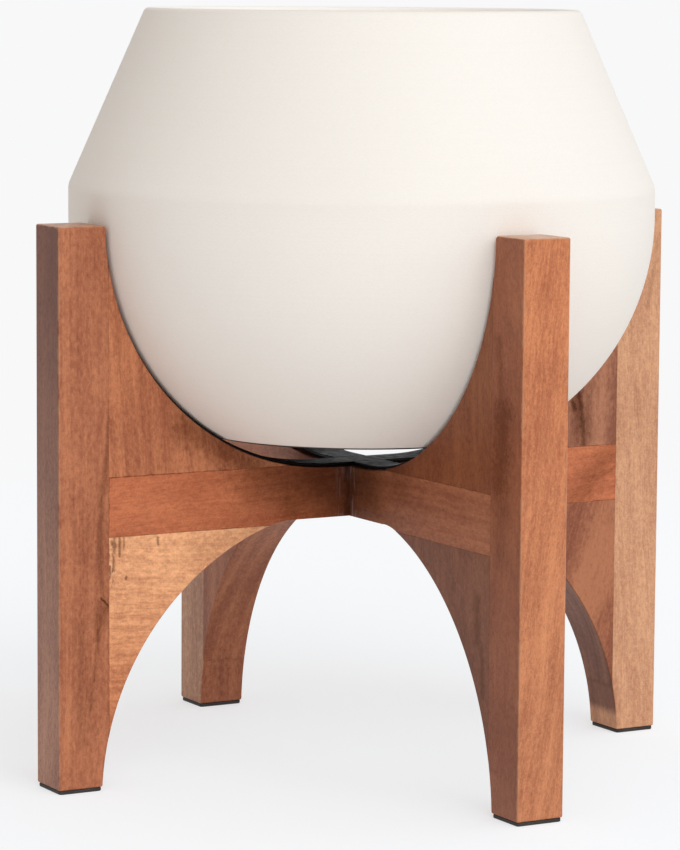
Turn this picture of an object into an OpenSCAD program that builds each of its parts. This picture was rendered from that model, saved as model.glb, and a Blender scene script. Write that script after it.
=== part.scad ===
// Single plant stand: four square legs joined by a half-lapped cross, with a
// round pot sitting in the curve that is cut through boards and legs.
// X runs along the upper rail, Y along the lower one, Z is up from the floor.

/* [Pot] */
// Widest outer diameter of the pot
pot_d = 356; // [291:1:421]
// Outer diameter at the rim
rim_d = 263; // [215:1:310]
// Height of the pot from its flat bottom to the rim
pot_h = 257; // [213:1:303]
// Depth of the pot's curved belly, from its widest place to the flat bottom
belly_h = 133; // [110:1:156]
// Height of the upright band between the belly and the crease
band_h = 17.5; // [14.5:0.5:20.5]
// Wall thickness of the pot
pot_wall = 8; // [6.5:0.5:9.5]
// Thickness of the pot's floor
pot_floor = 11; // [9:0.5:13]
// Diameter of the drain hole
drain_d = 20; // [16:0.5:24]

/* [Stand] */
// Height of the legs above the floor, with the foot pads
leg_h = 335; // [280:1:392]
// Thickness of the boards and legs
board_t = 31; // [25.5:0.5:37]
// Width of a leg, measured outward from the pot
leg_w = 32.5; // [27:0.5:39]
// Height of a cross rail
rail_h = 35.5; // [29.5:0.5:42]
// Width of a leg's foot, where the arch has cut into it
foot_w = 28.5; // [23:0.5:32]
// Distance from the centre at which the arch meets the rail
arch_in = 70; // [58:1:82]
// Radius of the arch under each arm
arch_r = 166; // [138:1:196]
// Depth of the arch's cut into the underside of the rails
arch_rise = 2.4; // [1.8:0.1:3]

/* [Cradle] */
// Distance of the belly curve's centre from the pot's axis
belly_off = 28; // [22.5:0.5:33.5]
// Depth of the curve cut into the top of the rails
scoop = 2.4; // [1.8:0.1:3]
// Height of the upright lip at the top of a leg's inner face
lip_h = 10; // [8:0.5:12]
// Thickness of the cushion strips
strip_t = 1.8; // [1.4:0.1:2.2]
// Width of the cushion strips
strip_w = 22; // [18:0.5:26]
// Angle that a cushion strip climbs, from straight down
strip_climb = 70; // [60:1:78]

/* [Fittings] */
// Thickness of the foot pads
pad_t = 2.4; // [2:0.1:2.8]
// Distance that a foot pad is set in from the foot's edges
pad_inset = 0.5; // [0.4:0.1:1.5]
// Diameter of the rail dowels
dowel_d = 8; // [6.5:0.5:9.5]
// Length of the rail dowels
dowel_l = 36; // [30:1:42]
// Diameter of the drain plug's flange
plug_d = 36; // [30:0.5:42]
// Thickness of the drain plug's flange
plug_t = 5; // [4:0.5:6]

/* [Hidden] */
$fn = 180;

edge_r = 1.5;         // rounding of the legs' outer edges
lip_r = 2.6;          // rounding of the legs' inner top edge
pad_r = 2;            // rounding of the foot pads' corners
seat_gap = 0.3;       // air between the pot and the cushion strips
lap_gap = 0.1;        // play in the half-lap
dowel_play = 0.05;    // play round a dowel
dowel_room = 0.5;     // air beyond each end of a dowel
plug_play = 0.05;     // play round the plug's stem
plug_short = 1;       // how far the plug's stem stops short of the pot's bottom
seat_rise = 1.5;      // centre of the belly curve above the legs' tops
base_r = 18;          // rounding of the pot's bottom edge
glue_in = 2;          // how far the glue line stands inside the cradle
over = 1;             // overrun of a cut
flat_arch = 0.52;     // smallest radius of the arch, as a share of its chord
deep_belly = 0.92;    // deepest belly, as a share of its radius
least_lean = 10;      // least distance of the rim inside the pot's widest place

pot_r = pot_d / 2;
belly_r = pot_r - belly_off;
seat_r = belly_r + seat_gap + strip_t;
seat_z = leg_h + seat_rise;
seat_low = seat_z - seat_r;

leg_in = belly_off + seat_r - glue_in;
leg_out = leg_in + leg_w;
foot_in = leg_out - foot_w;
rail_top = seat_low + scoop;
rail_low = rail_top - rail_h;
rail_mid = (rail_top + rail_low) / 2;
lip_z = leg_h - lip_h;
lip_x = belly_off + sqrt(pow(seat_r, 2) - pow(seat_z - lip_z, 2));

// centre of the arch, from its two ends and its radius
arch_dx = foot_in - arch_in;
arch_dz = rail_low - pad_t;
arch_chord = norm([arch_dx, arch_dz]);
arch_rr = max(arch_r, flat_arch * arch_chord);
arch_back = sqrt(pow(arch_rr, 2) - pow(arch_chord / 2, 2));
arch_x = (arch_in + foot_in) / 2 - arch_back * arch_dz / arch_chord;
arch_z = (rail_low + pad_t) / 2 - arch_back * arch_dx / arch_chord;

// the tighter arc that carries the arch on into the rail, to a level top
arch_dir = [arch_in - arch_x, rail_low - arch_z] / arch_rr;
blend_r = arch_rise / (1 - arch_dir[1]);
blend_x = arch_in - blend_r * arch_dir[0];
blend_z = rail_low - blend_r * arch_dir[1];

// the pot's levels, with its widest place level with the curve's centre
base_z = seat_z - min(belly_h, deep_belly * belly_r);
crease_z = seat_z + band_h;
rim_z = base_z + pot_h;
floor_z = base_z + pot_floor;
rim_r = min(rim_d / 2, pot_r - least_lean);

// the cone and its rounded lip
cone_a = atan((pot_r - rim_r) / (rim_z - crease_z));
half_wall = pot_wall / 2;
lip_run = (rim_z - half_wall - crease_z + half_wall * sin(cone_a)) / cos(cone_a);
rim_cx = pot_r - half_wall * cos(cone_a) - lip_run * sin(cone_a);
rim_cz = rim_z - half_wall;
crease_in_z = crease_z - pot_wall * sin(cone_a) + pot_wall * tan(cone_a / 2) * cos(cone_a);

// the rounding between the pot's bottom and its belly
base_cz = base_z + base_r;
base_cx = belly_off + sqrt(pow(belly_r - base_r, 2) - pow(seat_z - base_cz, 2));
base_dir = [base_cx - belly_off, base_cz - seat_z] / (belly_r - base_r);

// heights of each pair of dowels, an equal step from the rail's two edges and each other
dowel_z = [rail_low + rail_h / 3, rail_top - rail_h / 3];

// ---------- outlines, drawn in X and Z ----------

// everything that the cradle curve takes away on one arm
module cradle_void() {
    intersection() {
        translate([belly_off, seat_z]) circle(r = seat_r);
        translate([0, seat_low - over]) square([leg_out, lip_z - seat_low + over]);
    }
    translate([-over, seat_low]) square([belly_off + over, leg_h - seat_low + over]);
    translate([belly_off, lip_z]) square([lip_x - belly_off, leg_h - lip_z + over]);
}

// everything that the arch takes away on one arm
module arch_void() {
    translate([arch_x, arch_z]) circle(r = arch_rr);
}

// what the arch takes away from the underside of one half of a rail
module rail_relief() {
    translate([-over, rail_low - over]) square([blend_x + over, arch_rise + over]);
    intersection() {
        translate([blend_x, blend_z]) circle(r = blend_r);
        translate([0, rail_low - over]) square([leg_in, arch_rise + over]);
    }
}

// a corner to be rounded off, with its tip at the origin
module corner(r) {
    difference() {
        translate([-over, -over]) square(r + over);
        translate([r, r]) circle(r = r);
    }
}

module cradle_outline() {
    difference() {
        translate([belly_off, rail_top]) square([leg_in - belly_off, leg_h - rail_top]);
        cradle_void();
    }
}

module arch_outline() {
    difference() {
        translate([arch_in - over, pad_t])
            square([leg_in - arch_in + over, rail_low - pad_t]);
        arch_void();
    }
}

// the strip on one arm, starting a given distance from the centre
module strip_outline(start) {
    reach = 2 * seat_r;
    intersection() {
        difference() {
            translate([belly_off, seat_z]) circle(r = seat_r);
            translate([belly_off, seat_z]) circle(r = seat_r - strip_t);
        }
        translate([belly_off, seat_z])
            polygon([[0, 0], [0, -reach], [reach, -reach],
                     [reach * sin(strip_climb), -reach * cos(strip_climb)]]);
    }
    translate([start, seat_low]) square([belly_off - start, strip_t]);
}

// ---------- solids ----------

module board(width = board_t) {
    rotate([90, 0, 0]) linear_extrude(width, center = true) children();
}

module turned(a) {
    rotate([0, 0, a]) children();
}

// a leg's section in X and Y, with its two outer edges rounded
module leg_section() {
    difference() {
        translate([leg_in, -board_t / 2]) square([leg_w, board_t]);
        translate([leg_out, board_t / 2]) rotate(180) corner(edge_r);
        translate([leg_out, -board_t / 2]) mirror([1, 0]) corner(edge_r);
    }
}

module dowel_set(d, l) {
    for (z = dowel_z)
        translate([leg_in, 0, z]) rotate([0, 90, 0]) cylinder(d = d, h = l, center = true);
}

module dowel_holes() {
    dowel_set(dowel_d + 2 * dowel_play, dowel_l + 2 * dowel_room);
}

// what rounds a leg's top and foot, drawn in X and Z
module leg_corners() {
    translate([leg_out, leg_h]) rotate(180) corner(edge_r);
    translate([leg_out, pad_t]) mirror([1, 0]) corner(edge_r);
    translate([lip_x, leg_h]) mirror([0, 1]) corner(lip_r);
}

module leg() {
    difference() {
        translate([0, 0, pad_t]) linear_extrude(leg_h - pad_t) leg_section();
        board(board_t + 2 * over) {
            cradle_void();
            arch_void();
            leg_corners();
        }
        dowel_holes();
    }
}

module rail() {
    difference() {
        translate([-leg_in, -board_t / 2, rail_low]) cube([2 * leg_in, board_t, rail_h]);
        for (a = [0, 180])
            turned(a) {
                board(board_t + 2 * over) {
                    cradle_void();
                    rail_relief();
                }
                dowel_holes();
            }
    }
}

// the block that a half-lap takes out, above or below the rails' middle
module lap(from, to) {
    side = board_t + 2 * lap_gap;
    translate([-side / 2, -side / 2, from]) cube([side, side, to - from]);
}

module cradle_gusset() {
    board() cradle_outline();
}

module arch_gusset() {
    board() arch_outline();
}

module foot_pad() {
    x0 = foot_in + pad_inset;
    x1 = leg_out - pad_inset;
    y1 = board_t / 2 - pad_inset;
    linear_extrude(pad_t) difference() {
        translate([x0, -y1]) square([x1 - x0, 2 * y1]);
        translate([x0, -y1]) corner(pad_r);
        translate([x1, -y1]) mirror([1, 0]) corner(pad_r);
        translate([x0, y1]) mirror([0, 1]) corner(pad_r);
        translate([x1, y1]) rotate(180) corner(pad_r);
    }
}

module half_strip() {
    board(strip_w) strip_outline(strip_w / 2);
}

module pot_outside() {
    difference() {
        union() {
            intersection() {
                translate([belly_off, seat_z]) circle(r = belly_r);
                translate([0, base_z]) square([pot_r, seat_z - base_z]);
            }
            translate([0, base_z]) square([belly_off, seat_z - base_z]);
            translate([0, seat_z]) square([pot_r, crease_z - seat_z]);
            polygon([[0, crease_z], [pot_r, crease_z],
                     [rim_cx + half_wall * cos(cone_a), rim_cz + half_wall * sin(cone_a)],
                     [rim_cx - half_wall * cos(cone_a), rim_cz - half_wall * sin(cone_a)],
                     [0, rim_cz - half_wall * sin(cone_a)]]);
        }
        translate([base_cx, base_cz]) difference() {
            polygon([[0, 0], [0, -2 * base_r], 2 * base_r * base_dir]);
            circle(r = base_r);
        }
    }
    translate([rim_cx, rim_cz]) circle(r = half_wall);
}

module pot_inside() {
    intersection() {
        translate([belly_off, seat_z]) circle(r = belly_r - pot_wall);
        translate([0, floor_z]) square([pot_r, seat_z - floor_z]);
    }
    translate([-over, floor_z]) square([belly_off + over, seat_z - floor_z]);
    polygon([[-over, seat_z], [pot_r - pot_wall, seat_z], [pot_r - pot_wall, crease_in_z],
             [rim_cx - half_wall * cos(cone_a), rim_cz - half_wall * sin(cone_a)],
             [rim_cx - half_wall * cos(cone_a), rim_z + over], [-over, rim_z + over]]);
}

// ---------- the pieces ----------

module leg_left() color([0.66, 0.36, 0.22]) turned(180) leg();
module leg_front() color([0.70, 0.40, 0.25]) turned(-90) leg();
module leg_right() color([0.76, 0.52, 0.36]) leg();
module leg_back() color([0.64, 0.38, 0.26]) turned(90) leg();

module rail_x() color([0.58, 0.31, 0.20]) difference() {
    rail();
    lap(rail_low - over, rail_mid);
}

module rail_y() color([0.55, 0.30, 0.20]) difference() {
    turned(90) rail();
    lap(rail_mid, rail_top + over);
}

module cradle_left() color([0.62, 0.33, 0.21]) turned(180) cradle_gusset();
module cradle_front() color([0.56, 0.30, 0.20]) turned(-90) cradle_gusset();
module cradle_right() color([0.58, 0.34, 0.25]) cradle_gusset();
module cradle_back() color([0.60, 0.33, 0.22]) turned(90) cradle_gusset();

module arch_left() color([0.80, 0.52, 0.32]) turned(180) arch_gusset();
module arch_front() color([0.57, 0.33, 0.24]) turned(-90) arch_gusset();
module arch_right() color([0.64, 0.38, 0.27]) arch_gusset();
module arch_back() color([0.60, 0.35, 0.24]) turned(90) arch_gusset();

module strip_x() color([0.05, 0.05, 0.05]) board(strip_w) {
    strip_outline(0);
    mirror([1, 0]) strip_outline(0);
}
module strip_front() color([0.05, 0.05, 0.05]) turned(-90) half_strip();
module strip_back() color([0.05, 0.05, 0.05]) turned(90) half_strip();

module pad_left() color([0.08, 0.08, 0.08]) turned(180) foot_pad();
module pad_front() color([0.08, 0.08, 0.08]) turned(-90) foot_pad();
module pad_right() color([0.08, 0.08, 0.08]) foot_pad();
module pad_back() color([0.08, 0.08, 0.08]) turned(90) foot_pad();

module rail_dowels() color([0.82, 0.66, 0.46])
    for (a = [0, 90, 180, 270])
        turned(a) dowel_set(dowel_d, dowel_l);

module pot() color([0.90, 0.88, 0.85]) difference() {
    rotate_extrude() difference() {
        pot_outside();
        pot_inside();
    }
    translate([0, 0, base_z - over]) cylinder(d = drain_d, h = pot_floor + 2 * over);
}

module drain_plug() color([0.12, 0.12, 0.12]) {
    translate([0, 0, floor_z]) cylinder(d = plug_d, h = plug_t);
    translate([0, 0, base_z + plug_short])
        cylinder(d = drain_d - 2 * plug_play, h = pot_floor - plug_short + plug_t / 2);
}

leg_left();
leg_front();
leg_right();
leg_back();
rail_x();
rail_y();
cradle_left();
cradle_front();
cradle_right();
cradle_back();
arch_left();
arch_front();
arch_right();
arch_back();
strip_x();
strip_front();
strip_back();
pad_left();
pad_front();
pad_right();
pad_back();
rail_dowels();
pot();
drain_plug();
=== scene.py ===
"""A plant stand of crossed boards, its round pot and drain plug, in a plain pale studio.

Every piece is drawn in metres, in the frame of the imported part. X runs along the upper rail, Y
along the lower one, and Z is up from the floor. The outlines of an arm are drawn in X and Z for the
right arm, and turned to the other three.
"""

from dataclasses import dataclass
from functools import partialmethod
from inspect import signature
from math import acos, asin, atan, ceil, cos, pi, radians, sin, sqrt, tan

import bmesh
import bpy
from bpy.props import FloatProperty, FloatVectorProperty, IntProperty, PointerProperty
from bpy.types import Operator, Panel, PropertyGroup
from mathutils import Matrix, Vector


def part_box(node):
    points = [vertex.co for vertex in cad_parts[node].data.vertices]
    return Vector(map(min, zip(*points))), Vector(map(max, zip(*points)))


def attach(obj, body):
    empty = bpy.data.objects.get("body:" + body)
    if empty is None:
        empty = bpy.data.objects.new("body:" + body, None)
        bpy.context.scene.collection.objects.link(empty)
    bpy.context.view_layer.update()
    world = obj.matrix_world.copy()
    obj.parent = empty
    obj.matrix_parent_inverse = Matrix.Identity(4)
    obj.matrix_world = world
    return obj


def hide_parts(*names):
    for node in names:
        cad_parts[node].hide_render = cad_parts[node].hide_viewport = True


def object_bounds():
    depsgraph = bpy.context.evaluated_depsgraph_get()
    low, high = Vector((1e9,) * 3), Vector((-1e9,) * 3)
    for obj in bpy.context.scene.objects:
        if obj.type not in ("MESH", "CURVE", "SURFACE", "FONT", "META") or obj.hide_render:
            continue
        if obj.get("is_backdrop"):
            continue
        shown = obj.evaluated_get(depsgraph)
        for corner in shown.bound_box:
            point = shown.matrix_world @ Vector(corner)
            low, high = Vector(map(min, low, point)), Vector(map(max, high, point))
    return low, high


bl_info = {
    "name": "Plant Stand with Round Pot",
    "version": (1, 0, 0),
    "blender": (4, 5, 0),
    "location": "View3D > Sidebar > Plant Stand",
    "description": "Builds a stand of crossed boards, its round pot and a pale studio",
    "category": "Add Mesh",
}

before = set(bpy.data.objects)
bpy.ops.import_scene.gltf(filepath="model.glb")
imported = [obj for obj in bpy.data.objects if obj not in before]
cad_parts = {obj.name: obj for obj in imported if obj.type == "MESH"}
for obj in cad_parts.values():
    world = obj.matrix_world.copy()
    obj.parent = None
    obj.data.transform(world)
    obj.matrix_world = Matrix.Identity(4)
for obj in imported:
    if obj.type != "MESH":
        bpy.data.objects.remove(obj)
cad_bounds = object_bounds()

ARMS = {"left": 180, "front": -90, "right": 0, "back": 90}
SHARP = radians(30)      # edges that turn by more than this are creases
FLAT = radians(50)       # faces that meet at more than this are shaded apart
NEAR = 0.00005           # two places closer than this are one
MM = 0.001
UP = radians(90)         # directions at the ends of an arc
DOWN = -UP


def shade(red, green, blue):
    """A colour as a picture shows it, 0 to 255, turned into the linear values of a material."""
    parts = [part / 255 for part in (red, green, blue)]
    return tuple(p / 12.92 if p < 0.04045 else ((p + 0.055) / 1.055) ** 2.4 for p in parts)


# ---------- sizes and colours ----------

def length(default, description):
    return FloatProperty(default=default, description=description, min=0, unit="LENGTH",
                         precision=4)


def angle(default, description):
    return FloatProperty(default=radians(default), description=description, subtype="ANGLE")


def amount(default, description):
    return FloatProperty(default=default, min=0, description=description)


def tone(default, description):
    return FloatVectorProperty(default=shade(*default), description=description, min=0, max=1,
                               subtype="COLOR")


def shares(default, description):
    """Shares of a tone's red, green and blue, which may be over one."""
    return FloatVectorProperty(default=default, subtype="XYZ", description=description)


def steps(default, description):
    return IntProperty(default=default, min=1, description=description)


class StandSizes(PropertyGroup):
    belly_offset: length(0.028, "Cradle curve's centre, off the middle")
    seat_rise: length(0.0015, "Cradle curve's centre, above the legs")
    lip_height: length(0.01, "Upright top of a leg's inner face")
    lip_round: length(0.0026, "Rounding of a leg's inner top edge")
    foot_width: length(0.0285, "Width of a leg where it meets its foot pad")
    arch_radius: length(0.166, "Radius of the arch under each arm")
    arch_rise: length(0.0024, "Depth of the arch's cut into a rail")
    lap_play: length(0.0001, "Play between the two rails in their half-lap")
    edge_round: length(0.0011, "Eased edges of the boards and legs")
    strip_thick: length(0.0018, "Thickness of the cushion strips")
    strip_climb: angle(70, "Climb of a strip, from straight down")
    strip_round: length(0.0005, "Rounded edges of the cushion strips")
    pad_round: length(0.0006, "Rounded edges of the foot pads")
    pad_corner: length(0.002, "Rounded corners of the foot pads")
    arc_step: length(0.004, "Length of one step along a curve")


class PotSizes(PropertyGroup):
    rim_width: length(0.263, "Outer diameter at the rim")
    belly_height: length(0.133, "From the flat bottom to the widest place")
    band_height: length(0.0175, "Upright band below the crease")
    wall: length(0.008, "Thickness of the wall")
    floor: length(0.011, "Thickness of the floor")
    drain_width: length(0.02, "Diameter of the drain hole")
    base_round: length(0.018, "Rounding between bottom and belly")
    crease_round: length(0.012, "Rounding of the crease")
    inside_round: length(0.01, "Rounding between floor and wall")
    turn_steps: steps(176, "Steps in one turn of the pot")
    profile_step: length(0.004, "Length of one step along the profile")
    plug_round: length(0.0012, "Rounded edges of the drain plug")
    plug_steps: steps(64, "Steps in one turn of the drain plug")


class WoodLook(PropertyGroup):
    russet: tone((176, 108, 73), "Reddish heartwood")
    sienna: tone((169, 104, 72), "Duller reddish heartwood")
    copper: tone((184, 106, 69), "Brighter red heartwood")
    orange: tone((191, 119, 79), "Bright orange heartwood")
    clay: tone((181, 116, 80), "Duller orange heartwood")
    cedar: tone((155, 96, 67), "Dull red heartwood")
    clove: tone((155, 101, 75), "Greyish red heartwood")
    umber: tone((131, 75, 45), "Brown heartwood")
    plum: tone((123, 77, 56), "Greyish purple heartwood")
    # The next four tones paint shade on the shaded outer and side faces of two legs; the first also
    # colours dark torn fibres.
    dusk: tone((109, 61, 39), "Dark outer face")
    ash: tone((162, 116, 95), "Greyed outer face")
    mauve: tone((142, 87, 62), "Greyish brown side face")
    chestnut: tone((151, 88, 57), "Warmer brown side face")
    tan: tone((197, 146, 112), "Pale tan wood")
    fawn: tone((182, 138, 112), "Dull pale wood")
    honey: tone((225, 164, 120), "Golden sapwood")
    # Painted light: the legs' tops are painted paler, as lit from above.
    sawn: tone((206, 164, 136), "Pale end grain at the tops of the legs")
    beech: tone((214, 176, 138), "Pale wood of the dowels")
    # This tone also paints the shade at the rails' crossing and along a few lines.
    stain: tone((47, 22, 13), "Knots, cracks and glue lines")
    glue: tone((142, 116, 112), "Dried glue smears")
    band_light: shares((1.32, 1.42, 1.42), "Light growth bands, as shares of the tone")
    band_dark: shares((0.68, 0.55, 0.53), "Dark growth bands, as shares of the tone")
    ring_spacing: length(0.007, "Average width of a growth band")
    # The next two set the painted shade on the wood towards the rails' crossing, under the pot.
    corner_reach: length(0.085, "Reach of the crossing's dark wood")
    corner_shade: amount(0.7, "Strength of the crossing's dark wood")
    glue_cover: amount(0.6, "Strength of the dried glue")
    # The next two set the rubbed edges, which also paint a highlight along the legs' rounded edges.
    worn_width: length(0.0013, "Average width of the legs' rubbed edges")
    worn_cover: amount(0.4, "Strength of the rubbed edges")
    torn_pale: amount(0.5, "Strength of the pale torn fibres")
    torn_dark: amount(0.75, "Strength of the dark torn fibres")
    relief: length(0.00012, "Depth of the open pores")


class PotLook(PropertyGroup):
    glaze: tone((243, 239, 233), "Matt off-white outside")
    # Painted light: the inside is painted lighter, against the shade below the rim.
    inside: tone((253, 249, 243), "Cleaner glaze inside")
    speck: tone((120, 104, 90), "Tiny iron specks")
    # Painted shade: the next two set a dark band along the pot's bottom edge.
    foot: tone((30, 26, 24), "Dark bare foot under the pot")
    foot_height: length(0.0013, "Height of the bare foot")
    speck_cover: amount(0.7, "Strength of the iron specks")
    relief: length(0.0002, "Depth of the throwing lines")


class RubberLook(PropertyGroup):
    strip: tone((14, 12, 12), "Smooth black of the cushion strips")
    pad: tone((38, 31, 29), "Dull black of the foot pads")
    plug: tone((46, 46, 47), "Dull black of the drain plug")
    dust: tone((120, 110, 102), "Pale dust in the grain of the rubber")
    relief: length(0.00008, "Depth of the grain of the rubber")


class StageLook(PropertyGroup):
    floor_tone: tone((253, 253, 253), "Pale floor")
    backdrop: tone((248, 248, 249), "Backdrop that the camera sees")
    floor_size: length(60.0, "Width of the floor")
    floor_gain: shares((1.20, 1.30, 1.37), "The floor as seen, as shares of its tone")
    floor_glow: amount(0.6, "Share of the backdrop in the floor nearby")
    plain_from: length(0.45, "Distance where the floor starts to fade")
    plain_at: length(1.6, "Distance where it has faded")
    sky: amount(0.6, "Strength of the light from all round")
    sky_slope: amount(0.28, "Extra light from the room's bright side")
    sky_shade: tone((255, 238, 222), "Light from the room's dim side")
    sky_heading: angle(40, "Room's bright side, to the right of -Y")
    sky_height: angle(5, "Height of the room's bright side")
    sun: amount(1.1, "Strength of the large lamp")
    sun_softness: angle(60, "How wide the large lamp looks")
    sun_heading: angle(-5, "Lamp's place, to the right of -Y")
    sun_height: angle(32, "Lamp's angle above the floor")
    camera_heading: angle(-29.76, "Camera's place, to the right of -Y")
    camera_distance: length(2.2615, "From the stand's axis, level")
    camera_height: length(0.4807, "Above the floor")
    look_heading: angle(29.452, "Direction of view, to the right of +Y")
    look_down: angle(6.908, "Direction of view below level")
    roll: angle(0.386, "Turn about the direction of view")
    lens: FloatProperty(default=157.4, unit="CAMERA", description="Focal length")


# ---------- outlines ----------

def arc(centre, radius, first, last, step):
    """Points on an arc in X and Z from one angle to another, both ends included."""
    count = max(2, ceil(abs(last - first) * radius / step))
    angles = [first + (last - first) * i / count for i in range(count + 1)]
    return [(centre[0] + radius * cos(a), centre[1] + radius * sin(a)) for a in angles]


def with_mirror(half):
    """An outline's right half with the left one, read backwards."""
    return half + [(-x, z) for x, z in reversed(half)]


class Arm:
    """What the right arm is drawn from: straight lines from the frame, and two circles."""

    def __init__(self, context):
        self.sizes = sizes = context.scene.stand_sizes
        leg_low, leg_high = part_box("leg_right")
        rail_low, rail_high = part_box("rail_x")
        self.step = sizes.arc_step
        self.seam_x, self.out_x = leg_low.x, leg_high.x
        self.foot_z, self.top_z = leg_low.z, leg_high.z
        self.thick = leg_high.y - leg_low.y
        self.rail_low, self.rail_top = rail_low.z, rail_high.z
        self.lap = self.thick / 2 + sizes.lap_play
        self.lap_z = (self.rail_low + self.rail_top) / 2

        self.seat_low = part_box("strip_x")[0].z
        self.belly = (sizes.belly_offset, self.top_z + sizes.seat_rise)
        self.belly_r = self.belly[1] - self.seat_low
        self.lip_a = asin((self.top_z - sizes.lip_height - self.belly[1]) / self.belly_r)
        self.seat_a = -acos((self.seam_x - self.belly[0]) / self.belly_r)
        self.tip_a = asin((self.rail_top - self.belly[1]) / self.belly_r)

        self.arch_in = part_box("arch_right")[0].x
        self.foot_in = self.out_x - sizes.foot_width
        run, rise = self.foot_in - self.arch_in, self.rail_low - self.foot_z
        chord = sqrt(run * run + rise * rise)
        self.arch_r = sizes.arch_radius
        back = sqrt(self.arch_r ** 2 - chord ** 2 / 4)
        self.arch = ((self.arch_in + self.foot_in) / 2 - back * rise / chord,
                     (self.rail_low + self.foot_z) / 2 - back * run / chord)
        self.arch_top_a = asin((self.rail_low - self.arch[1]) / self.arch_r)
        self.arch_seam_a = acos((self.seam_x - self.arch[0]) / self.arch_r)
        self.arch_foot_a = asin((self.foot_z - self.arch[1]) / self.arch_r)
        self.blend_r = sizes.arch_rise / (1 - sin(self.arch_top_a))
        self.blend = (self.arch_in - self.blend_r * cos(self.arch_top_a),
                      self.rail_low - self.blend_r * sin(self.arch_top_a))

    def cradle(self, first, last):
        return arc(self.belly, self.belly_r, first, last, self.step)

    def arched(self, first, last):
        return arc(self.arch, self.arch_r, first, last, self.step)

    def leg(self):
        lip = self.cradle(self.lip_a, self.seat_a)
        lip_x, r = lip[0][0], self.sizes.lip_round
        top = arc((lip_x + r, self.top_z - r), r, UP, radians(180), r / 4)
        return ([(self.out_x, self.foot_z), (self.out_x, self.top_z)] + top + lip
                + self.arched(self.arch_seam_a, self.arch_foot_a))

    def cradle_gusset(self):
        return self.cradle(self.tip_a, self.seat_a) + [(self.seam_x, self.rail_top)]

    def arch_gusset(self):
        return [(self.seam_x, self.rail_low)] + self.arched(self.arch_top_a, self.arch_seam_a)

    def rail_half(self, notched_below):
        """Half of a rail's outline, from the middle of its top out to the seam and back below."""
        scoop = self.cradle(DOWN, self.tip_a)
        ends = [(self.seam_x, self.rail_top), (self.seam_x, self.rail_low)]
        relief = arc(self.blend, self.blend_r, self.arch_top_a, UP, self.step)
        if notched_below:
            top_z = relief[-1][1]
            return scoop + ends + relief + [(self.lap, top_z), (self.lap, self.lap_z)]
        return [(self.lap, self.lap_z), (self.lap, self.seat_low)] + scoop + ends + relief

    def rail(self, notched_below):
        return with_mirror(self.rail_half(notched_below))

    def strip(self, start):
        """The strip from a distance off the middle, up one arm."""
        thick, end = self.sizes.strip_thick, self.sizes.strip_climb - UP
        upper = arc(self.belly, self.belly_r - thick, end, DOWN, self.step)
        return self.cradle(DOWN, end) + upper + [(start, self.seat_low + thick),
                                                 (start, self.seat_low)]

    def whole_strip(self):
        return with_mirror(self.strip(0)[:-2])

    def is_free(self, first, last):
        """Whether the middle of an edge lies off the glued seams and off the half-lap."""
        x, z = abs(first.x + last.x) / 2, (first.z + last.z) / 2
        on_upright = abs(x - self.seam_x) < NEAR
        on_top_seam = abs(z - self.rail_top) < NEAR
        on_low_seam = abs(z - self.rail_low) < NEAR and x > self.arch_in - NEAR
        return not (on_upright or on_top_seam or on_low_seam or x < self.lap + NEAR)


# ---------- meshes ----------

def extrude_outline(outline, width):
    """A bmesh board with the given outline in X and Z, centred on Y."""
    mesh = bmesh.new()
    corners = [mesh.verts.new((x, -width / 2, z)) for x, z in outline]
    side = mesh.faces.new(corners)
    grown = bmesh.ops.extrude_face_region(mesh, geom=[side])["geom"]
    moved = [item for item in grown if isinstance(item, bmesh.types.BMVert)]
    bmesh.ops.translate(mesh, verts=moved, vec=(0, width, 0))
    bmesh.ops.recalc_face_normals(mesh, faces=mesh.faces)
    return mesh


def bevel_edges(mesh, radius, segments, chosen):
    """Rounds the creases that a test of both ends of the edge picks."""
    creases = [edge for edge in mesh.edges if edge.calc_face_angle(0) > SHARP]
    picked = [edge for edge in creases if chosen(edge.verts[0].co, edge.verts[1].co)]
    bmesh.ops.bevel(mesh, geom=picked, affect="EDGES", offset=radius, offset_type="OFFSET",
                    segments=segments, profile=0.5, material=-1, clamp_overlap=True)


def spin_profile(profile, steps):
    """A closed profile in X and Z turned once round the Z axis."""
    mesh = bmesh.new()
    points = [mesh.verts.new((x, 0, z)) for x, z in profile]
    edges = [mesh.edges.new((a, b)) for a, b in zip(points, points[1:] + points[:1])]
    bmesh.ops.spin(mesh, geom=points + edges, cent=(0, 0, 0), axis=(0, 0, 1), angle=2 * pi,
                   steps=steps, use_merge=True)
    bmesh.ops.remove_doubles(mesh, verts=mesh.verts, dist=NEAR / 10)
    bmesh.ops.recalc_face_normals(mesh, faces=mesh.faces)
    return mesh


def put_in_scene(name, data):
    placed = bpy.data.objects.new(name, data)
    bpy.context.scene.collection.objects.link(placed)
    return placed


def object_of(mesh, name, material):
    """Turns a finished bmesh into an object of one material."""
    data = bpy.data.meshes.new(name)
    mesh.to_mesh(data)
    mesh.free()
    data.materials.append(material)
    return put_in_scene(name, data)


def add_piece(mesh, name, body, node, material, turn=0):
    """Turns a finished bmesh into a piece that rides on a body in place of a node of the frame."""
    if turn:
        turned = Matrix.Rotation(radians(turn), 3, "Z")
        bmesh.ops.rotate(mesh, verts=mesh.verts, cent=(0, 0, 0), matrix=turned)
    piece = object_of(mesh, name, material)
    piece.data.shade_smooth()
    piece.data.set_sharp_from_angle(angle=FLAT)
    flats = piece.modifiers.new("flat faces stay flat", "WEIGHTED_NORMAL")
    flats.keep_sharp = True
    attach(piece, body)
    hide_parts(node)


# ---------- shader nodes ----------

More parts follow.
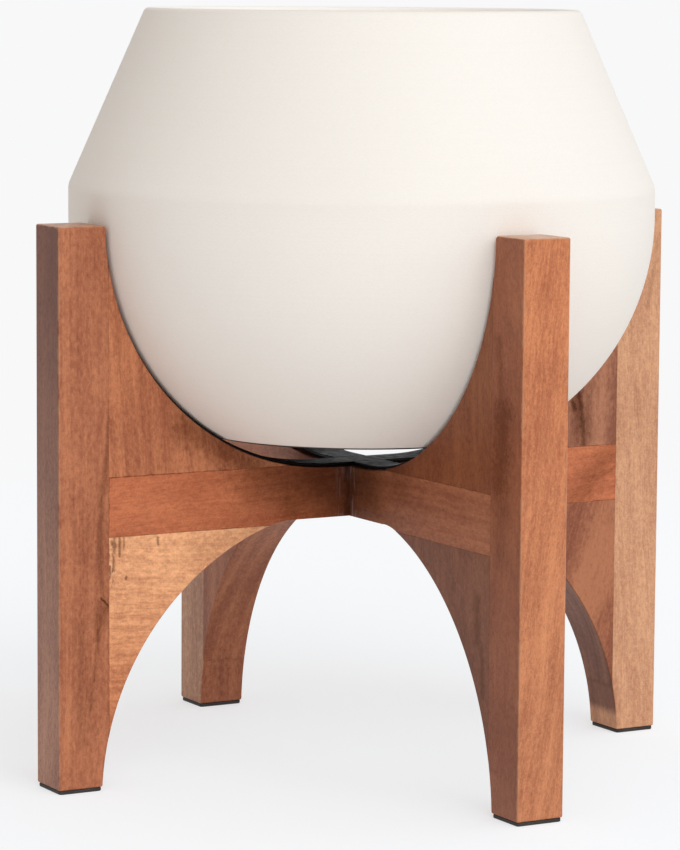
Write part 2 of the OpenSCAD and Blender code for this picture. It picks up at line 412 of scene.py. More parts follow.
class Graph:
    """Adds nodes to one tree. An input is given a value or another node's output."""

    def __init__(self, tree):
        self.tree = tree

    def add(self, kind, inputs=None, **settings):
        node = self.tree.nodes.new(kind if kind.startswith("Node") else "ShaderNode" + kind)
        column, row = divmod(len(self.tree.nodes) - 1, 3)
        node.location = (200 * column, -260 * row)
        for name, value in settings.items():
            setattr(node, name, value)
        for name, value in (inputs or {}).items():
            self.feed(node.inputs[name], value)
        return node

    def out(self, kind, inputs=None, output=0, **settings):
        """One output of a new node."""
        return self.add(kind, inputs, **settings).outputs[output]

    def feed(self, socket, value):
        if isinstance(value, bpy.types.NodeSocket):
            self.tree.links.new(value, socket)
        elif socket.type == "RGBA":
            socket.default_value = (*value, 1)
        else:
            socket.default_value = value

    def math(self, operation, first, *others, **settings):
        """One operation on two or more numbers, from the first on."""
        for other in others:
            first = self.out("Math", {0: first, 1: other}, operation=operation, **settings)
        return first

    total = partialmethod(math, "ADD")
    minus = partialmethod(math, "SUBTRACT")
    times = partialmethod(math, "MULTIPLY")
    over = partialmethod(math, "DIVIDE")
    least = partialmethod(math, "MINIMUM")
    most = partialmethod(math, "MAXIMUM")

    def size(self, value):
        return self.math("ABSOLUTE", value, 0)

    def vector(self, operation, first, second, output="Vector"):
        return self.out("VectorMath", {0: first, 1: second}, output, operation=operation)

    def stretched(self, vector, x, y, z):
        return self.vector("MULTIPLY", vector, (x, y, z))

    def dot(self, first, second):
        return self.vector("DOT_PRODUCT", first, second, "Value")

    def distance(self, first, second=(0, 0, 0)):
        return self.vector("DISTANCE", first, second, "Value")

    def scaled(self, vector, factor):
        return self.out("VectorMath", {0: vector, "Scale": factor}, operation="SCALE")

    def split(self, vector):
        return self.add("SeparateXYZ", {"Vector": vector}).outputs

    def turned(self, vector, angles, shift=(0, 0, 0)):
        return self.out("Mapping", {"Vector": vector, "Rotation": angles, "Location": shift})

    def mix(self, factor, first, second):
        return self.out("Mix", {0: factor, 6: first, 7: second}, 2, data_type="RGBA")

    def mix_shaders(self, factor, first, second):
        return self.out("MixShader", {0: factor, 1: first, 2: second})

    def ramp(self, value, low, high, start=0.0, end=1.0):
        """A smooth step from start to end while the value goes from low to high."""
        inputs = {"Value": value, "From Min": low, "From Max": high, "To Min": start,
                  "To Max": end}
        return self.out("MapRange", inputs, interpolation_type="SMOOTHSTEP")

    def noise(self, place, scale, detail=2.0, roughness=0.5, output="Fac"):
        """Noise over a place, with one scale or one in each direction, or along a number."""
        if isinstance(scale, tuple):
            place, scale = self.stretched(place, *scale), 1
        name, dimensions = ("W", "1D") if place.type == "VALUE" else ("Vector", "3D")
        inputs = {name: place, "Scale": scale, "Detail": detail, "Roughness": roughness}
        return self.out("TexNoise", inputs, output, noise_dimensions=dimensions)

    def fibre_noise(self, vector, scale, along, detail=2.0):
        """Noise drawn out along Z: along is its scale there as a share of the scale across."""
        return self.noise(self.stretched(vector, 1, 1, along), scale, detail)

    def centred(self, value, strength):
        """A value round one half, made to swing round zero by a strength."""
        return self.times(self.minus(value, 0.5), strength)

    def strayed(self, vector, colour, strength):
        """A vector led off its way by a noise's colour, as far as a strength says."""
        way = self.vector("SUBTRACT", colour, (0.5, 0.5, 0.5))
        return self.vector("ADD", vector, self.scaled(way, strength))


def build_group(draw, gives):
    """A group's tree, with a socket for each argument and result of the function that draws it."""
    tree = bpy.data.node_groups.new(draw.__name__, "ShaderNodeTree")

    def socket(name, way, kind):
        return tree.interface.new_socket(name=name, in_out=way, socket_type="NodeSocket" + kind)

    for name, taken in list(signature(draw).parameters.items())[1:]:
        if taken.default is taken.empty:
            socket(name, "INPUT", "Vector")
        elif isinstance(taken.default, tuple):
            socket(name, "INPUT", "Color").default_value = (*taken.default, 1)
        else:
            socket(name, "INPUT", "Float").default_value = taken.default
    for name in gives:
        socket(name, "OUTPUT", "Color" if name == "colour" else "Float")
    graph = Graph(tree)
    drawn = draw(graph, *list(graph.add("NodeGroupInput").outputs)[:-1])
    results = drawn if isinstance(drawn, tuple) else (drawn,)
    graph.add("NodeGroupOutput", dict(zip(gives, results)))
    return tree


def shader_group(*gives):
    """Turns a function that draws a shader group into one that adds this group to a graph.

    The group is drawn once and shared. Its inputs are the function's arguments: a vector where one
    has no default, a colour where that has three parts, and else a number.
    """
    def wrap(draw):
        def add(graph, vector, **inputs):
            tree = bpy.data.node_groups.get(draw.__name__) or build_group(draw, gives)
            inputs["vector"] = vector
            outputs = graph.add("Group", inputs, node_tree=tree).outputs
            return outputs if len(gives) > 1 else outputs[0]
        return add
    return wrap


@shader_group("colour", "roughness", "height")
def plank_grain(graph, vector, light_bands, dark_bands, body=(0.5, 0.25, 0.15),
                ring_spacing=0.007, wander=0.01, rings=0.8, streaks=0.5, clouds=0.5, mottle=0.4,
                ripple=0.0, flecks=0.5, fibres=0.35, tooth=0.45):
    """Wood cut from a log whose pith is the Z axis: growth bands, streaks, fibres and pores."""
    swing = graph.noise(graph.stretched(vector, 1, 1, 0.35), 12, output="Color")
    bent = graph.strayed(vector, swing, wander)
    radius = graph.distance(graph.stretched(bent, 1, 1, 0))
    fibre = graph.fibre_noise(bent, 1100, 0.03, 1)
    swings = ((graph.noise(graph.over(radius, ring_spacing), 1, 3, 0.6), rings),
              (graph.fibre_noise(bent, 240, 0.05), streaks),
              (graph.fibre_noise(bent, 34, 0.5, 3), clouds),
              (graph.fibre_noise(bent, 500, 0.5, 3), mottle),
              (fibre, fibres),
              (graph.noise(bent, 900, 1), tooth))
    light = graph.total(*(graph.centred(value, strength) for value, strength in swings), 0.5)
    bands = graph.mix(graph.ramp(light, 0, 1), dark_bands, light_bands)
    waves = graph.noise(bent, (70, 70, 420))
    pores = graph.times(graph.ramp(graph.fibre_noise(bent, 1150, 0.35, 1), 0.5, 0.74), flecks)
    level = graph.total(graph.centred(waves, ripple), graph.times(pores, -0.35), 1.05)
    colour = graph.vector("MULTIPLY", body, graph.scaled(bands, level))
    roughness = graph.total(graph.times(fibre, 0.2), graph.times(pores, 0.15), 0.34)
    return colour, roughness, graph.minus(graph.times(fibre, 0.4), pores)


@shader_group("mask")
def glue_seam(graph, vector, upright=0.0, upper=0.0, lower=0.0, width=0.0004):
    """A thin broken line where a board meets its neighbours, in the arm's own directions."""
    x, y, z = graph.split(vector)
    offs = (graph.minus(graph.size(x), upright), graph.minus(z, upper), graph.minus(z, lower))
    nearest = graph.least(*(graph.size(off) for off in offs))
    reach = graph.times(width, graph.ramp(graph.noise(vector, 160, 3, 0.7), 0.3, 0.7, 0.2, 1.8))
    return graph.ramp(graph.over(nearest, reach), 0.35, 1, 1, 0)


@shader_group("mask")
def grain_flaw(graph, vector, start, end, width=0.001):
    """A soft crack, streak, knot or painted shade on a wavering line between two places on an arm's
    face.
    """
    place = graph.strayed(vector, graph.noise(vector, 300, 3, 0.65, "Color"), width)
    place = graph.stretched(graph.vector("SUBTRACT", place, start), 1, 0, 1)
    run = graph.vector("SUBTRACT", end, start)
    share = graph.math("DIVIDE", graph.dot(place, run), graph.dot(run, run), use_clamp=True)
    away = graph.distance(place, graph.scaled(run, share))
    return graph.ramp(graph.over(away, width), 0, 1, 1, 0)


@shader_group("dark", "pale")
def torn_grain(graph, vector, centre, reach):
    """Short torn fibres, dark and pale, round a place where a plane iron lifted the grain."""
    away = graph.vector("DIVIDE", graph.vector("SUBTRACT", vector, centre), reach)
    fade = graph.ramp(graph.distance(away), 0.3, 1, 1, 0)
    dashes = graph.noise(vector, (560, 560, 190))
    grains = graph.noise(vector, (700, 700, 320), 1)
    return (graph.times(graph.ramp(dashes, 0.5, 0.64), fade),
            graph.times(graph.ramp(grains, 0.56, 0.68), fade))


@shader_group("mask")
def worn_edge(graph, vector, outer=0.0, half=0.0, top=0.0, width=0.001):
    """The outer edges of a leg, where two faces meet, rubbed in patches, with a painted highlight.
    """
    x, y, z = graph.split(vector)
    from_outer = graph.minus(outer, x)
    from_side = graph.minus(half, graph.size(y))
    farther = graph.least(graph.most(from_outer, from_side), graph.minus(top, z))
    second = graph.most(graph.least(from_outer, from_side), farther)
    reach = graph.times(width, graph.ramp(graph.noise(vector, 90, 3, 0.6), 0.35, 0.65, 0.4, 1.5))
    return graph.ramp(graph.over(second, reach), 0.3, 1, 1, 0)


@shader_group("dark", "glue")
def dark_corner(graph, vector, corner=0.0, reach=0.07):
    """Painted shade, darker towards the rails' crossing, and smears of glue right in its corners.
    """
    off = graph.minus(graph.size(graph.split(vector)["X"]), corner)
    ragged = graph.centred(graph.noise(vector, 45, 3, 0.6), 0.7)
    dark = graph.ramp(graph.total(graph.over(off, reach), ragged), -0.1, 1, 1, 0)
    runs = graph.noise(vector, (480, 480, 60))
    near = graph.ramp(off, 0.004, 0.013, 1, 0)
    return dark, graph.times(graph.ramp(runs, 0.5, 0.62), near)


@shader_group("mask")
def face_mask(graph, vector, facing, offset=0.0):
    """One face of a board: what lies past a plane, in the arm's own directions."""
    past = graph.minus(graph.dot(vector, facing), offset)
    return graph.ramp(past, -0.0006, -0.0002)


@shader_group("mask")
def arch_mask(graph, vector, centre, radius=0.1):
    """The sawn surface of the arch, round its axis across the arm."""
    off = graph.minus(graph.distance(graph.stretched(vector, 1, 0, 1), centre), radius)
    return graph.ramp(off, 0.0002, 0.0006, 1, 0)


@shader_group("colour", "height")
def dusty_grain(graph, vector, base=(0.02, 0.02, 0.02), dust=(0.2, 0.2, 0.2), grain_size=0.0008,
                cover=0.3):
    """A fine pebbled grain with pale dust caught in it."""
    fine = graph.noise(vector, graph.over(1, grain_size))
    patches = graph.noise(vector, 55, 3)
    dusted = graph.times(graph.ramp(fine, 0.45, 0.75), graph.ramp(patches, 0.4, 0.7), cover)
    return graph.mix(dusted, base, dust), fine


def start_material(name):
    """A new material with its graph, the object's coordinates and the surface shader."""
    material = bpy.data.materials.new(name)
    material.use_nodes = True
    material.node_tree.nodes.clear()
    graph = Graph(material.node_tree)
    place = graph.out("TexCoord", output="Object")
    surface = graph.add("BsdfPrincipled")
    graph.add("OutputMaterial", {"Surface": surface.outputs["BSDF"]})
    return material, graph, place, surface


def coat(graph, surface, colour, roughness, gloss=0.5, bump=None):
    """Feeds the surface shader. A bump is a height, the depth of its unit and its strength."""
    values = {"Base Color": colour, "Roughness": roughness, "Specular IOR Level": gloss}
    if bump:
        inputs = dict(zip(("Height", "Distance", "Strength"), bump))
        values["Normal"] = graph.out("Bump", inputs)
    for name, value in values.items():
        graph.feed(surface.inputs[name], value)


# ---------- materials ----------

@dataclass
class Cut:
    """How one board was cut from its log, and what shows on it."""
    tone: str              # its colour, or the one at its lower end
    pith: tuple            # middle of the log, from the arm's own axis, in metres
    upper: str = ""        # colour at its upper end, where that differs
    tilt: tuple = (0, 0)   # lean of the grain about X and Y, in degrees
    rings: float = 0.6
    streaks: float = 0.35
    clouds: float = 0.8
    mottle: float = 0.9
    ripple: float = 0.0
    flecks: float = 0.45
    wander: float = 0.02
    spacing: float = 1.0   # growth bands wider or narrower than the average
    seam: float = 0.4      # darkness of the glue line
    blended: bool = False  # no glue line to be seen beside the leg
    lying: bool = False    # grain along the arm
    # On the left and front legs a face's tones are painted shade.
    face: tuple = ()       # tones of one flat face, and the direction that it faces
    top: str = ""          # end grain at the top, painted paler as lit from above
    under: str = ""        # tone of the sawn surface of the arch
    # Some of these lines are painted shade, marked where they are listed.
    flaws: tuple = ()      # each X and Z of two ends and width, in millimetres, and darkness
    torn: tuple = ()       # middle and reach of torn fibres, in metres


GRAIN = ("wander", "rings", "streaks", "clouds", "mottle", "ripple", "flecks")
LOGS_APART = 0.7   # each board is cut from its own length of the log, in metres
NO_SEAM = -1.0     # a seam's place that no board reaches


CUTS = {
    "leg_left": Cut(
        # Painted shade on the outer face, darker at its top, and a top painted paler, as lit from
        # above.
        "sienna", (0.12, 0.05), tilt=(0, 1), rings=0.5, seam=0.25, top="fawn",
        face=("ash", "dusk", (1, 0, 0)), flaws=(
            (183.1, 115.4, 178.7, 110.9, 1.6, 0.8), (178.7, 110.9, 181.8, 107, 2.2, 0.55),
            (180, 112, 184, 101, 7.5, 0.4), (184, 101, 185.7, 90.6, 2.8, 0.45),
            (185.7, 90.6, 190, 50, 2.4, 0.3), (177.6, 229, 179, 202, 3, 0.3),
            (179, 202, 183, 173, 3.6, 0.35), (183, 173, 184.2, 132, 3.4, 0.32),
            (184.2, 132, 181.2, 113, 3, 0.3), (196, 100, 195, 30, 8, 0.15))),
    "leg_front": Cut(
        "clay", (0.195, 0.09), upper="orange", tilt=(7, 1), rings=0.4, streaks=0.3, wander=0.035,
        # Painted shade on the side face, and a top painted paler, as lit from above.
        mottle=0.65, seam=0.2, top="sawn", face=("mauve", "chestnut", (0, -1, 0)), flaws=(
            (185, 275, 190, 230, 8, 0.3), (190, 235, 187, 195, 19, 0.45),
            (188, 195, 189, 155, 17, 0.25))),
    "leg_right": Cut(
        "tan", (0.16, 0.11), tilt=(1, 2), rings=0.4, clouds=0.5, mottle=0.6, flecks=0.3, seam=0.1,
        under="plum", flaws=(
            (204.5, 296, 201, 274, 3, 0.2), (207, 316, 204.5, 296, 2.4, 0.14))),
    "leg_back": Cut(
        "cedar", (0.22, 0.08), tilt=(1, -2), seam=0.1, face=("fawn", "fawn", (0, 1, 0))),
    "cradle_left": Cut(
        "russet", (0.02, 0.14), tilt=(0, -2), rings=0.8, streaks=0.6, spacing=1.4, seam=0.55,
        blended=True, flaws=(
            # Painted shade: a soft dark band along the cushion strip, in the pot's shadow.
            (80, 186, 128, 214, 16, 0.45),)),
    "cradle_front": Cut("umber", (0.12, 0.09), tilt=(2, 3), seam=0.3),
    "cradle_right": Cut(
        "clove", (0.13, 0.07), tilt=(0, 2), rings=1.2, seam=0.4, flaws=(
            (145.2, 214.5, 147.2, 210.5, 4, 0.75), (150, 220, 152.1, 208.6, 4, 0.7),
            (152.1, 208.6, 153.6, 188, 4.6, 0.7), (148, 220, 154, 195, 12, 0.4))),
    "cradle_back": Cut("russet", (0.03, 0.11), tilt=(1, -3)),
    "arch_left": Cut(
        "orange", (0.2, 0.12), upper="honey", tilt=(2, 3), rings=0.3, streaks=0.5, mottle=0.8,
        ripple=0.15, flecks=0.2, lying=True, torn=((0.1765, 0, 0.136), (0.0036, 0.1, 0.024)),
        flaws=(
            (171.3, 151.3, 171.1, 140, 1.6, 0.6), (174.5, 150.9, 174.7, 142, 2.2, 0.55),
            (168.5, 151.7, 168.5, 144, 1.4, 0.45), (146, 149, 145.8, 145, 1.4, 0.6),
            # The last line is painted shade, a faint darker band under the rail.
            (166.8, 127, 167.2, 125.8, 1.4, 0.7), (85, 148, 125, 138, 14, 0.1))),
    "arch_front": Cut(
        "plum", (0.16, 0.1), tilt=(0, 4), rings=0.6, seam=0.3, flaws=(
            (164, 125, 165, 101, 7, 0.3), (170, 96, 172, 70, 5, 0.3))),
    "arch_right": Cut("cedar", (0.14, 0.08), tilt=(0, -14), rings=1.4, under="plum", seam=0.15),
    "arch_back": Cut("cedar", (0.12, 0.1), tilt=(1, 2), rings=0.7, seam=0.12),
    "rail_x": Cut(
        "copper", (0.22, 0.07), tilt=(0, 3), rings=0.4, mottle=0.6, flecks=0.4, seam=0.55,
        lying=True, flaws=(
            # Painted shade: the wide band from -10 mm and the line at -15.5 mm, at the crossing
            # under the pot.
            (180, 190, 150, 155, 16, 0.3), (-10, 169, -80, 184, 30, 0.42),
            (-15.5, 150, -17, 187, 8, 0.75), (144.8, 155, 178.4, 172.7, 2.6, 0.3))),
    "rail_y": Cut("cedar", (0.1, 0.09), tilt=(1, -2), rings=0.6, flecks=0.4, seam=0.3, lying=True),
}


def timber_material(node, turn, arm, look):
    """Oiled hardwood for one board: its own tone, grain, seams and flaws, and painted shade and
    light.
    """
    cut = CUTS[node]
    is_leg = node.startswith("leg_")
    material, graph, place, surface = start_material("oiled_" + node)
    on_arm = graph.turned(place, (0, 0, radians(-turn)))
    along = graph.turned(on_arm, (0, radians(-90) if cut.lying else 0, 0))
    lean_x, lean_y = cut.tilt
    depth = LOGS_APART * list(CUTS).index(node)
    in_log = graph.turned(along, (radians(lean_x), radians(lean_y), 0),
                          (-cut.pith[0], -cut.pith[1], depth))

    low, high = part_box(node)
    height = graph.split(place)["Z"]
    upward = graph.ramp(height, low.z, high.z)

    def tone_between(low_name, high_name):
        return graph.mix(upward, getattr(look, low_name), getattr(look, high_name))

    body = tone_between(cut.tone, cut.upper or cut.tone)
    faces = []
    # On the left and front legs this paints shade on a shaded face; on the back leg it is the
    # face's own tone.
    if cut.face:
        faces.append((*cut.face, arm.out_x if cut.face[2][0] else arm.thick / 2))
    # Painted light: the leg's top is painted paler, as lit from above.
    if cut.top:
        faces.append((cut.top, cut.top, (0, 0, 1), arm.top_z))
    for low_name, high_name, facing, offset in faces:
        on_face = face_mask(graph, on_arm, facing=facing, offset=offset)
        body = graph.mix(on_face, body, tone_between(low_name, high_name))
    if cut.under:
        centre = (arm.arch[0], 0, arm.arch[1])
        on_arch = arch_mask(graph, on_arm, centre=centre, radius=arm.arch_r)
        above_foot = graph.ramp(height, 0.010, 0.017)
        body = graph.mix(graph.times(on_arch, above_foot), body, getattr(look, cut.under))

    grain = plank_grain(graph, in_log, body=body, light_bands=look.band_light,
                        dark_bands=look.band_dark, ring_spacing=look.ring_spacing * cut.spacing,
                        **{name: getattr(cut, name) for name in GRAIN})
    if is_leg:
        dull = 0.0
        # Rubbed edges of the legs, painted lighter also as a highlight on the rounded arrises.
        worn = worn_edge(graph, on_arm, outer=arm.out_x, half=arm.thick / 2,
                         top=arm.top_z, width=look.worn_width)
        layers = [(worn, look.worn_cover, look.tan)]
    else:
        # Painted shade: the wood darkens towards the rails' crossing, under the pot; the glue
        # smears are real.
        corner = dark_corner(graph, on_arm, corner=arm.thick / 2, reach=look.corner_reach)
        dull = corner["dark"]
        layers = [(dull, look.corner_shade, look.stain)]
        if node.startswith("rail_"):
            layers.append((corner["glue"], look.glue_cover, look.glue))
    if cut.torn:
        centre, reach = cut.torn
        torn = torn_grain(graph, on_arm, centre=centre, reach=reach)
        layers += [(torn["pale"], look.torn_pale, look.beech),
                   (torn["dark"], look.torn_dark, look.dusk)]
    colour = grain["colour"]
    for mask, cover, shown in layers:
        colour = graph.mix(graph.times(mask, cover), colour, shown)

    seam = glue_seam(graph, on_arm, upright=NO_SEAM if cut.blended else arm.seam_x,
                     upper=NO_SEAM if is_leg else arm.rail_top,
                     lower=NO_SEAM if is_leg else arm.rail_low)
    marks = graph.times(seam, cut.seam)
    # Some of these lines are painted shade; the others are cracks, streaks and knots.
    for start_x, start_z, end_x, end_z, width, darkness in cut.flaws:
        flaw = grain_flaw(graph, on_arm, start=(start_x * MM, 0, start_z * MM),
                          end=(end_x * MM, 0, end_z * MM), width=width * MM)
        marks = graph.most(marks, graph.times(flaw, darkness))
    # The gloss drops under the marks and under the painted shade at the crossing.
    gloss = graph.ramp(graph.most(marks, dull), 0, 0.6, 0.3, 0.05)
    coat(graph, surface, graph.mix(marks, colour, look.stain), grain["roughness"], gloss,
         (grain["height"], look.relief, 0.7))
    return material


def dowel_material(look):
    material, graph, place, surface = start_material("beech_dowel")
    grain = plank_grain(graph, place, body=look.beech, light_bands=look.band_light,
                        dark_bands=look.band_dark, ring_spacing=look.ring_spacing, rings=0.4,
                        flecks=0.3)
    coat(graph, surface, grain["colour"], grain["roughness"])
    return material


def glaze_material(look):
    """Matt glaze with faint throwing lines, a cloth-fine grain and a few iron specks."""
    material, graph, place, surface = start_material("matt_glaze")
    height = graph.split(place)["Z"]
    lines = graph.noise(height, 560, 3, 0.6)
    fine = graph.noise(graph.stretched(place, 1, 1, 2.5), 620)
    clouds = graph.noise(place, 9, 3)
    cells = graph.add("TexVoronoi", {"Vector": place, "Scale": 34}).outputs
    chosen = graph.ramp(graph.split(cells["Color"])["X"], 0.72, 0.74)
    specks = graph.times(graph.ramp(cells["Distance"], 0.012, 0.022, 1, 0), chosen)
    level = graph.total(graph.centred(lines, 0.02), graph.centred(fine, 0.08),
                        graph.centred(clouds, 0.04), 1)
    # Painted light: the inside of the wall takes a lighter tone, against the shade below the rim.
    normal = graph.out("NewGeometry", output="True Normal")
    outward = graph.dot(normal, graph.stretched(place, 1, 1, 0))
    glaze = graph.mix(graph.ramp(outward, -0.01, 0.01), look.inside, look.glaze)
    colour = graph.mix(graph.times(specks, look.speck_cover), graph.scaled(glaze, level),
                       look.speck)
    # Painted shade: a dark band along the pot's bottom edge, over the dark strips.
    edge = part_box("pot")[0].z + look.foot_height
    bare = graph.ramp(height, edge, edge + 0.4 * look.foot_height, 1, 0)
    relief = graph.total(graph.times(lines, 0.25), graph.times(fine, 0.5))
    coat(graph, surface, graph.mix(bare, colour, look.foot),
         graph.ramp(fine, 0.2, 0.8, 0.6, 0.75), 0.25, (relief, look.relief, 0.6))
    return material


def rubber_material(name, colour, look, roughness, grain_size, cover, gloss=0.5):
    """Black rubber, from smooth and glossy to dull and pebbled."""
    material, graph, place, surface = start_material(name)
    grain = dusty_grain(graph, place, base=colour, dust=look.dust, grain_size=grain_size,
                        cover=cover)
    matt = graph.ramp(grain["height"], 0.3, 0.7, roughness, roughness + 0.12)
    coat(graph, surface, grain["colour"], matt, gloss, (grain["height"], look.relief, 0.5))
    return material


def seen_instead(graph, lighting, seen):
    """A shader that lights the scene, with another for the rays of camera, gloss and glass."""
    path = graph.add("LightPath").outputs
    direct = graph.most(path["Is Glossy Ray"], path["Is Transmission Ray"], path["Is Camera Ray"])
    return graph.mix_shaders(direct, lighting, seen)


def floor_material(look):
    """The pale floor, seen brighter than it is, and equal to the backdrop further off."""
    material, graph, place, surface = start_material("pale_floor")
    coat(graph, surface, look.floor_tone, 0.9, 0.1)
    plain = graph.out("Emission", {"Color": look.backdrop, "Strength": 1})
    lift = graph.ramp(graph.distance(place), look.plain_from, look.plain_at, look.floor_glow, 1)
    gained = graph.vector("MULTIPLY", look.floor_tone, look.floor_gain)
    bright = graph.out("BsdfDiffuse", {"Color": gained})
    lit = surface.outputs["BSDF"]
    shown = graph.mix_shaders(lift, bright, plain)
    graph.feed(lit.links[0].to_socket, seen_instead(graph, lit, shown))
    return material


def light_world(look):
    """Soft light, brighter from one side; the camera, gloss and glass see the backdrop instead."""
    world = bpy.data.worlds.new("soft_studio")
    world.use_nodes = True
    world.node_tree.nodes.clear()
    graph = Graph(world.node_tree)
    bright_side = place_round(look.sky_heading, cos(look.sky_height), sin(look.sky_height))
    facing = graph.dot(graph.out("TexCoord", output="Generated"), bright_side)
    strength = graph.total(graph.times(facing, look.sky_slope), look.sky)
    colour = graph.mix(graph.ramp(facing, -0.8, 0.4), look.sky_shade, (1, 1, 1))
    light = graph.out("Background", {"Color": colour, "Strength": strength})
    seen = graph.out("Background", {"Color": look.backdrop, "Strength": 1})
    graph.add("OutputWorld", {"Surface": seen_instead(graph, light, seen)})
    bpy.context.scene.world = world


# ---------- operators ----------

def add_board(context, node, name, outline, turn):
    """One board of the stand: outline, thickness, eased edges, material."""
    arm = Arm(context)
    board = extrude_outline(outline, arm.thick)
    bevel_edges(board, arm.sizes.edge_round, 3, arm.is_free)
    material = timber_material(node, turn, arm, context.scene.wood_look)
    add_piece(board, name, "stand", node, material, turn)


def add_boards(context, kind, outline):
    """The same board on each of the four arms."""
    for side, turn in ARMS.items():
        add_board(context, kind + "_" + side, side + "_" + kind, outline, turn)


class STAND_OT_legs(Operator):
    """Add the four legs, each cut by the cradle's curve and by the arch"""
    bl_idname = "plant_stand.legs"
    bl_label = "Legs"

    def execute(self, context):
        add_boards(context, "leg", Arm(context).leg())
        return {"FINISHED"}


class STAND_OT_rails(Operator):
    """Add the two rails, halved over each other in the middle"""
    bl_idname = "plant_stand.rails"
    bl_label = "Rails"

    def execute(self, context):
        arm = Arm(context)
        add_board(context, "rail_x", "upper_rail", arm.rail(notched_below=True), 0)
        add_board(context, "rail_y", "lower_rail", arm.rail(notched_below=False), 90)
        return {"FINISHED"}


class STAND_OT_cradle_gussets(Operator):
    """Add the four gussets above the rails, cut to the pot's curve"""
    bl_idname = "plant_stand.cradle_gussets"
    bl_label = "Cradle Gussets"

    def execute(self, context):
        add_boards(context, "cradle", Arm(context).cradle_gusset())
        return {"FINISHED"}


class STAND_OT_arch_gussets(Operator):
    """Add the four gussets below the rails, cut to an arch"""
    bl_idname = "plant_stand.arch_gussets"
    bl_label = "Arch Gussets"

    def execute(self, context):
        add_boards(context, "arch", Arm(context).arch_gusset())
        return {"FINISHED"}


class STAND_OT_strips(Operator):
    """Add the cushion strips that the pot rests on"""
    bl_idname = "plant_stand.strips"
    bl_label = "Cushion Strips"

    def execute(self, context):
        arm, look = Arm(context), context.scene.rubber_look
        low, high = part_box("strip_x")
        width = high.y - low.y
        material = rubber_material("smooth_strip", look.strip, look, roughness=0.35,
                                   grain_size=0.004, cover=0, gloss=0.2)
        half = arm.strip(width / 2)
        for node, outline, name, turn in (
                ("strip_x", arm.whole_strip(), "long_strip", 0),
                ("strip_front", half, "front_strip", ARMS["front"]),
                ("strip_back", half, "back_strip", ARMS["back"])):
            strip = extrude_outline(outline, width)
            bevel_edges(strip, arm.sizes.strip_round, 2, lambda a, b: True)
            add_piece(strip, name, "stand", node, material, turn)
        return {"FINISHED"}


class STAND_OT_pads(Operator):
    """Add the rubber pads under the legs"""
    bl_idname = "plant_stand.pads"
    bl_label = "Foot Pads"

    def execute(self, context):
        sizes, look = context.scene.stand_sizes, context.scene.rubber_look
        material = rubber_material("dull_pad", look.pad, look, roughness=0.6,
                                   grain_size=0.0007, cover=0.35)
        for side in ARMS:
            low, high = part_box("pad_" + side)
            pad = bmesh.new()
            bmesh.ops.create_cube(pad, size=1)
            bmesh.ops.scale(pad, verts=pad.verts, vec=high - low)
            bmesh.ops.translate(pad, verts=pad.verts, vec=(low + high) / 2)
            bevel_edges(pad, sizes.pad_corner, 4, lambda a, b: abs(a.z - b.z) > NEAR)
            bevel_edges(pad, sizes.pad_round, 2, lambda a, b: abs(a.z - b.z) < NEAR)
            add_piece(pad, side + "_pad", "stand", "pad_" + side, material)
        return {"FINISHED"}


class STAND_OT_dowels(Operator):
    """Give the hidden dowels their wood"""
    bl_idname = "plant_stand.dowels"
    bl_label = "Dowels"

    def execute(self, context):
        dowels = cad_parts["rail_dowels"]
        dowels.data.materials.clear()
        dowels.data.materials.append(dowel_material(context.scene.wood_look))
        return {"FINISHED"}


def pot_profile(sizes, belly_x):
    """The pot's wall as a closed line in X and Z, up the outside and down the inside."""
    low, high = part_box("pot")
    wide, rim = high.x, sizes.rim_width / 2
    base_z, rim_z, wall, step = low.z, high.z, sizes.wall, sizes.profile_step
    belly_z = base_z + sizes.belly_height
    belly_r = wide - belly_x
    crease_z = belly_z + sizes.band_height
    drain = sizes.drain_width / 2

    base_cz = base_z + sizes.base_round
    base_cx = belly_x + sqrt((belly_r - sizes.base_round) ** 2 - (belly_z - base_cz) ** 2)
    base_a = asin((base_cz - belly_z) / (belly_r - sizes.base_round))

    lean = atan((wide - rim) / (rim_z - crease_z))
    lip = wall / 2
    lip_z = rim_z - lip
    run = (lip_z - crease_z + lip * sin(lean)) / cos(lean)
    lip_x = wide - lip * cos(lean) - run * sin(lean)

    soft = sizes.crease_round
    soft_z = crease_z - soft * tan(lean / 2)
    inner_soft = soft - wall
    floor_z = base_z + sizes.floor
    inner_r = belly_r - wall
    fillet = sizes.inside_round
    fillet_z = floor_z + fillet
    fillet_x = belly_x + sqrt((inner_r - fillet) ** 2 - (belly_z - fillet_z) ** 2)
    fillet_a = asin((fillet_z - belly_z) / (inner_r - fillet))

    outside = (arc((base_cx, base_cz), sizes.base_round, DOWN, base_a, step)
               + arc((belly_x, belly_z), belly_r, base_a, 0, step)[1:]
               + arc((wide - soft, soft_z), soft, 0, lean, step / 4)
               + arc((lip_x, lip_z), lip, lean, lean + pi, lip / 4))
    inside = (arc((wide - soft, soft_z), inner_soft, lean, 0, step / 4)
              + arc((belly_x, belly_z), inner_r, 0, fillet_a, step)
              + arc((fillet_x, fillet_z), fillet, fillet_a, DOWN, step)[1:])
    return [(drain, base_z)] + outside + inside + [(drain, floor_z)]


class STAND_OT_pot(Operator):
    """Add the round pot, turned from its profile"""
    bl_idname = "plant_stand.pot"
    bl_label = "Pot"

    def execute(self, context):
        sizes = context.scene.pot_sizes
        profile = pot_profile(sizes, context.scene.stand_sizes.belly_offset)
        pot = spin_profile(profile, sizes.turn_steps)
        add_piece(pot, "round_pot", "pot", "pot", glaze_material(context.scene.pot_look))
        return {"FINISHED"}


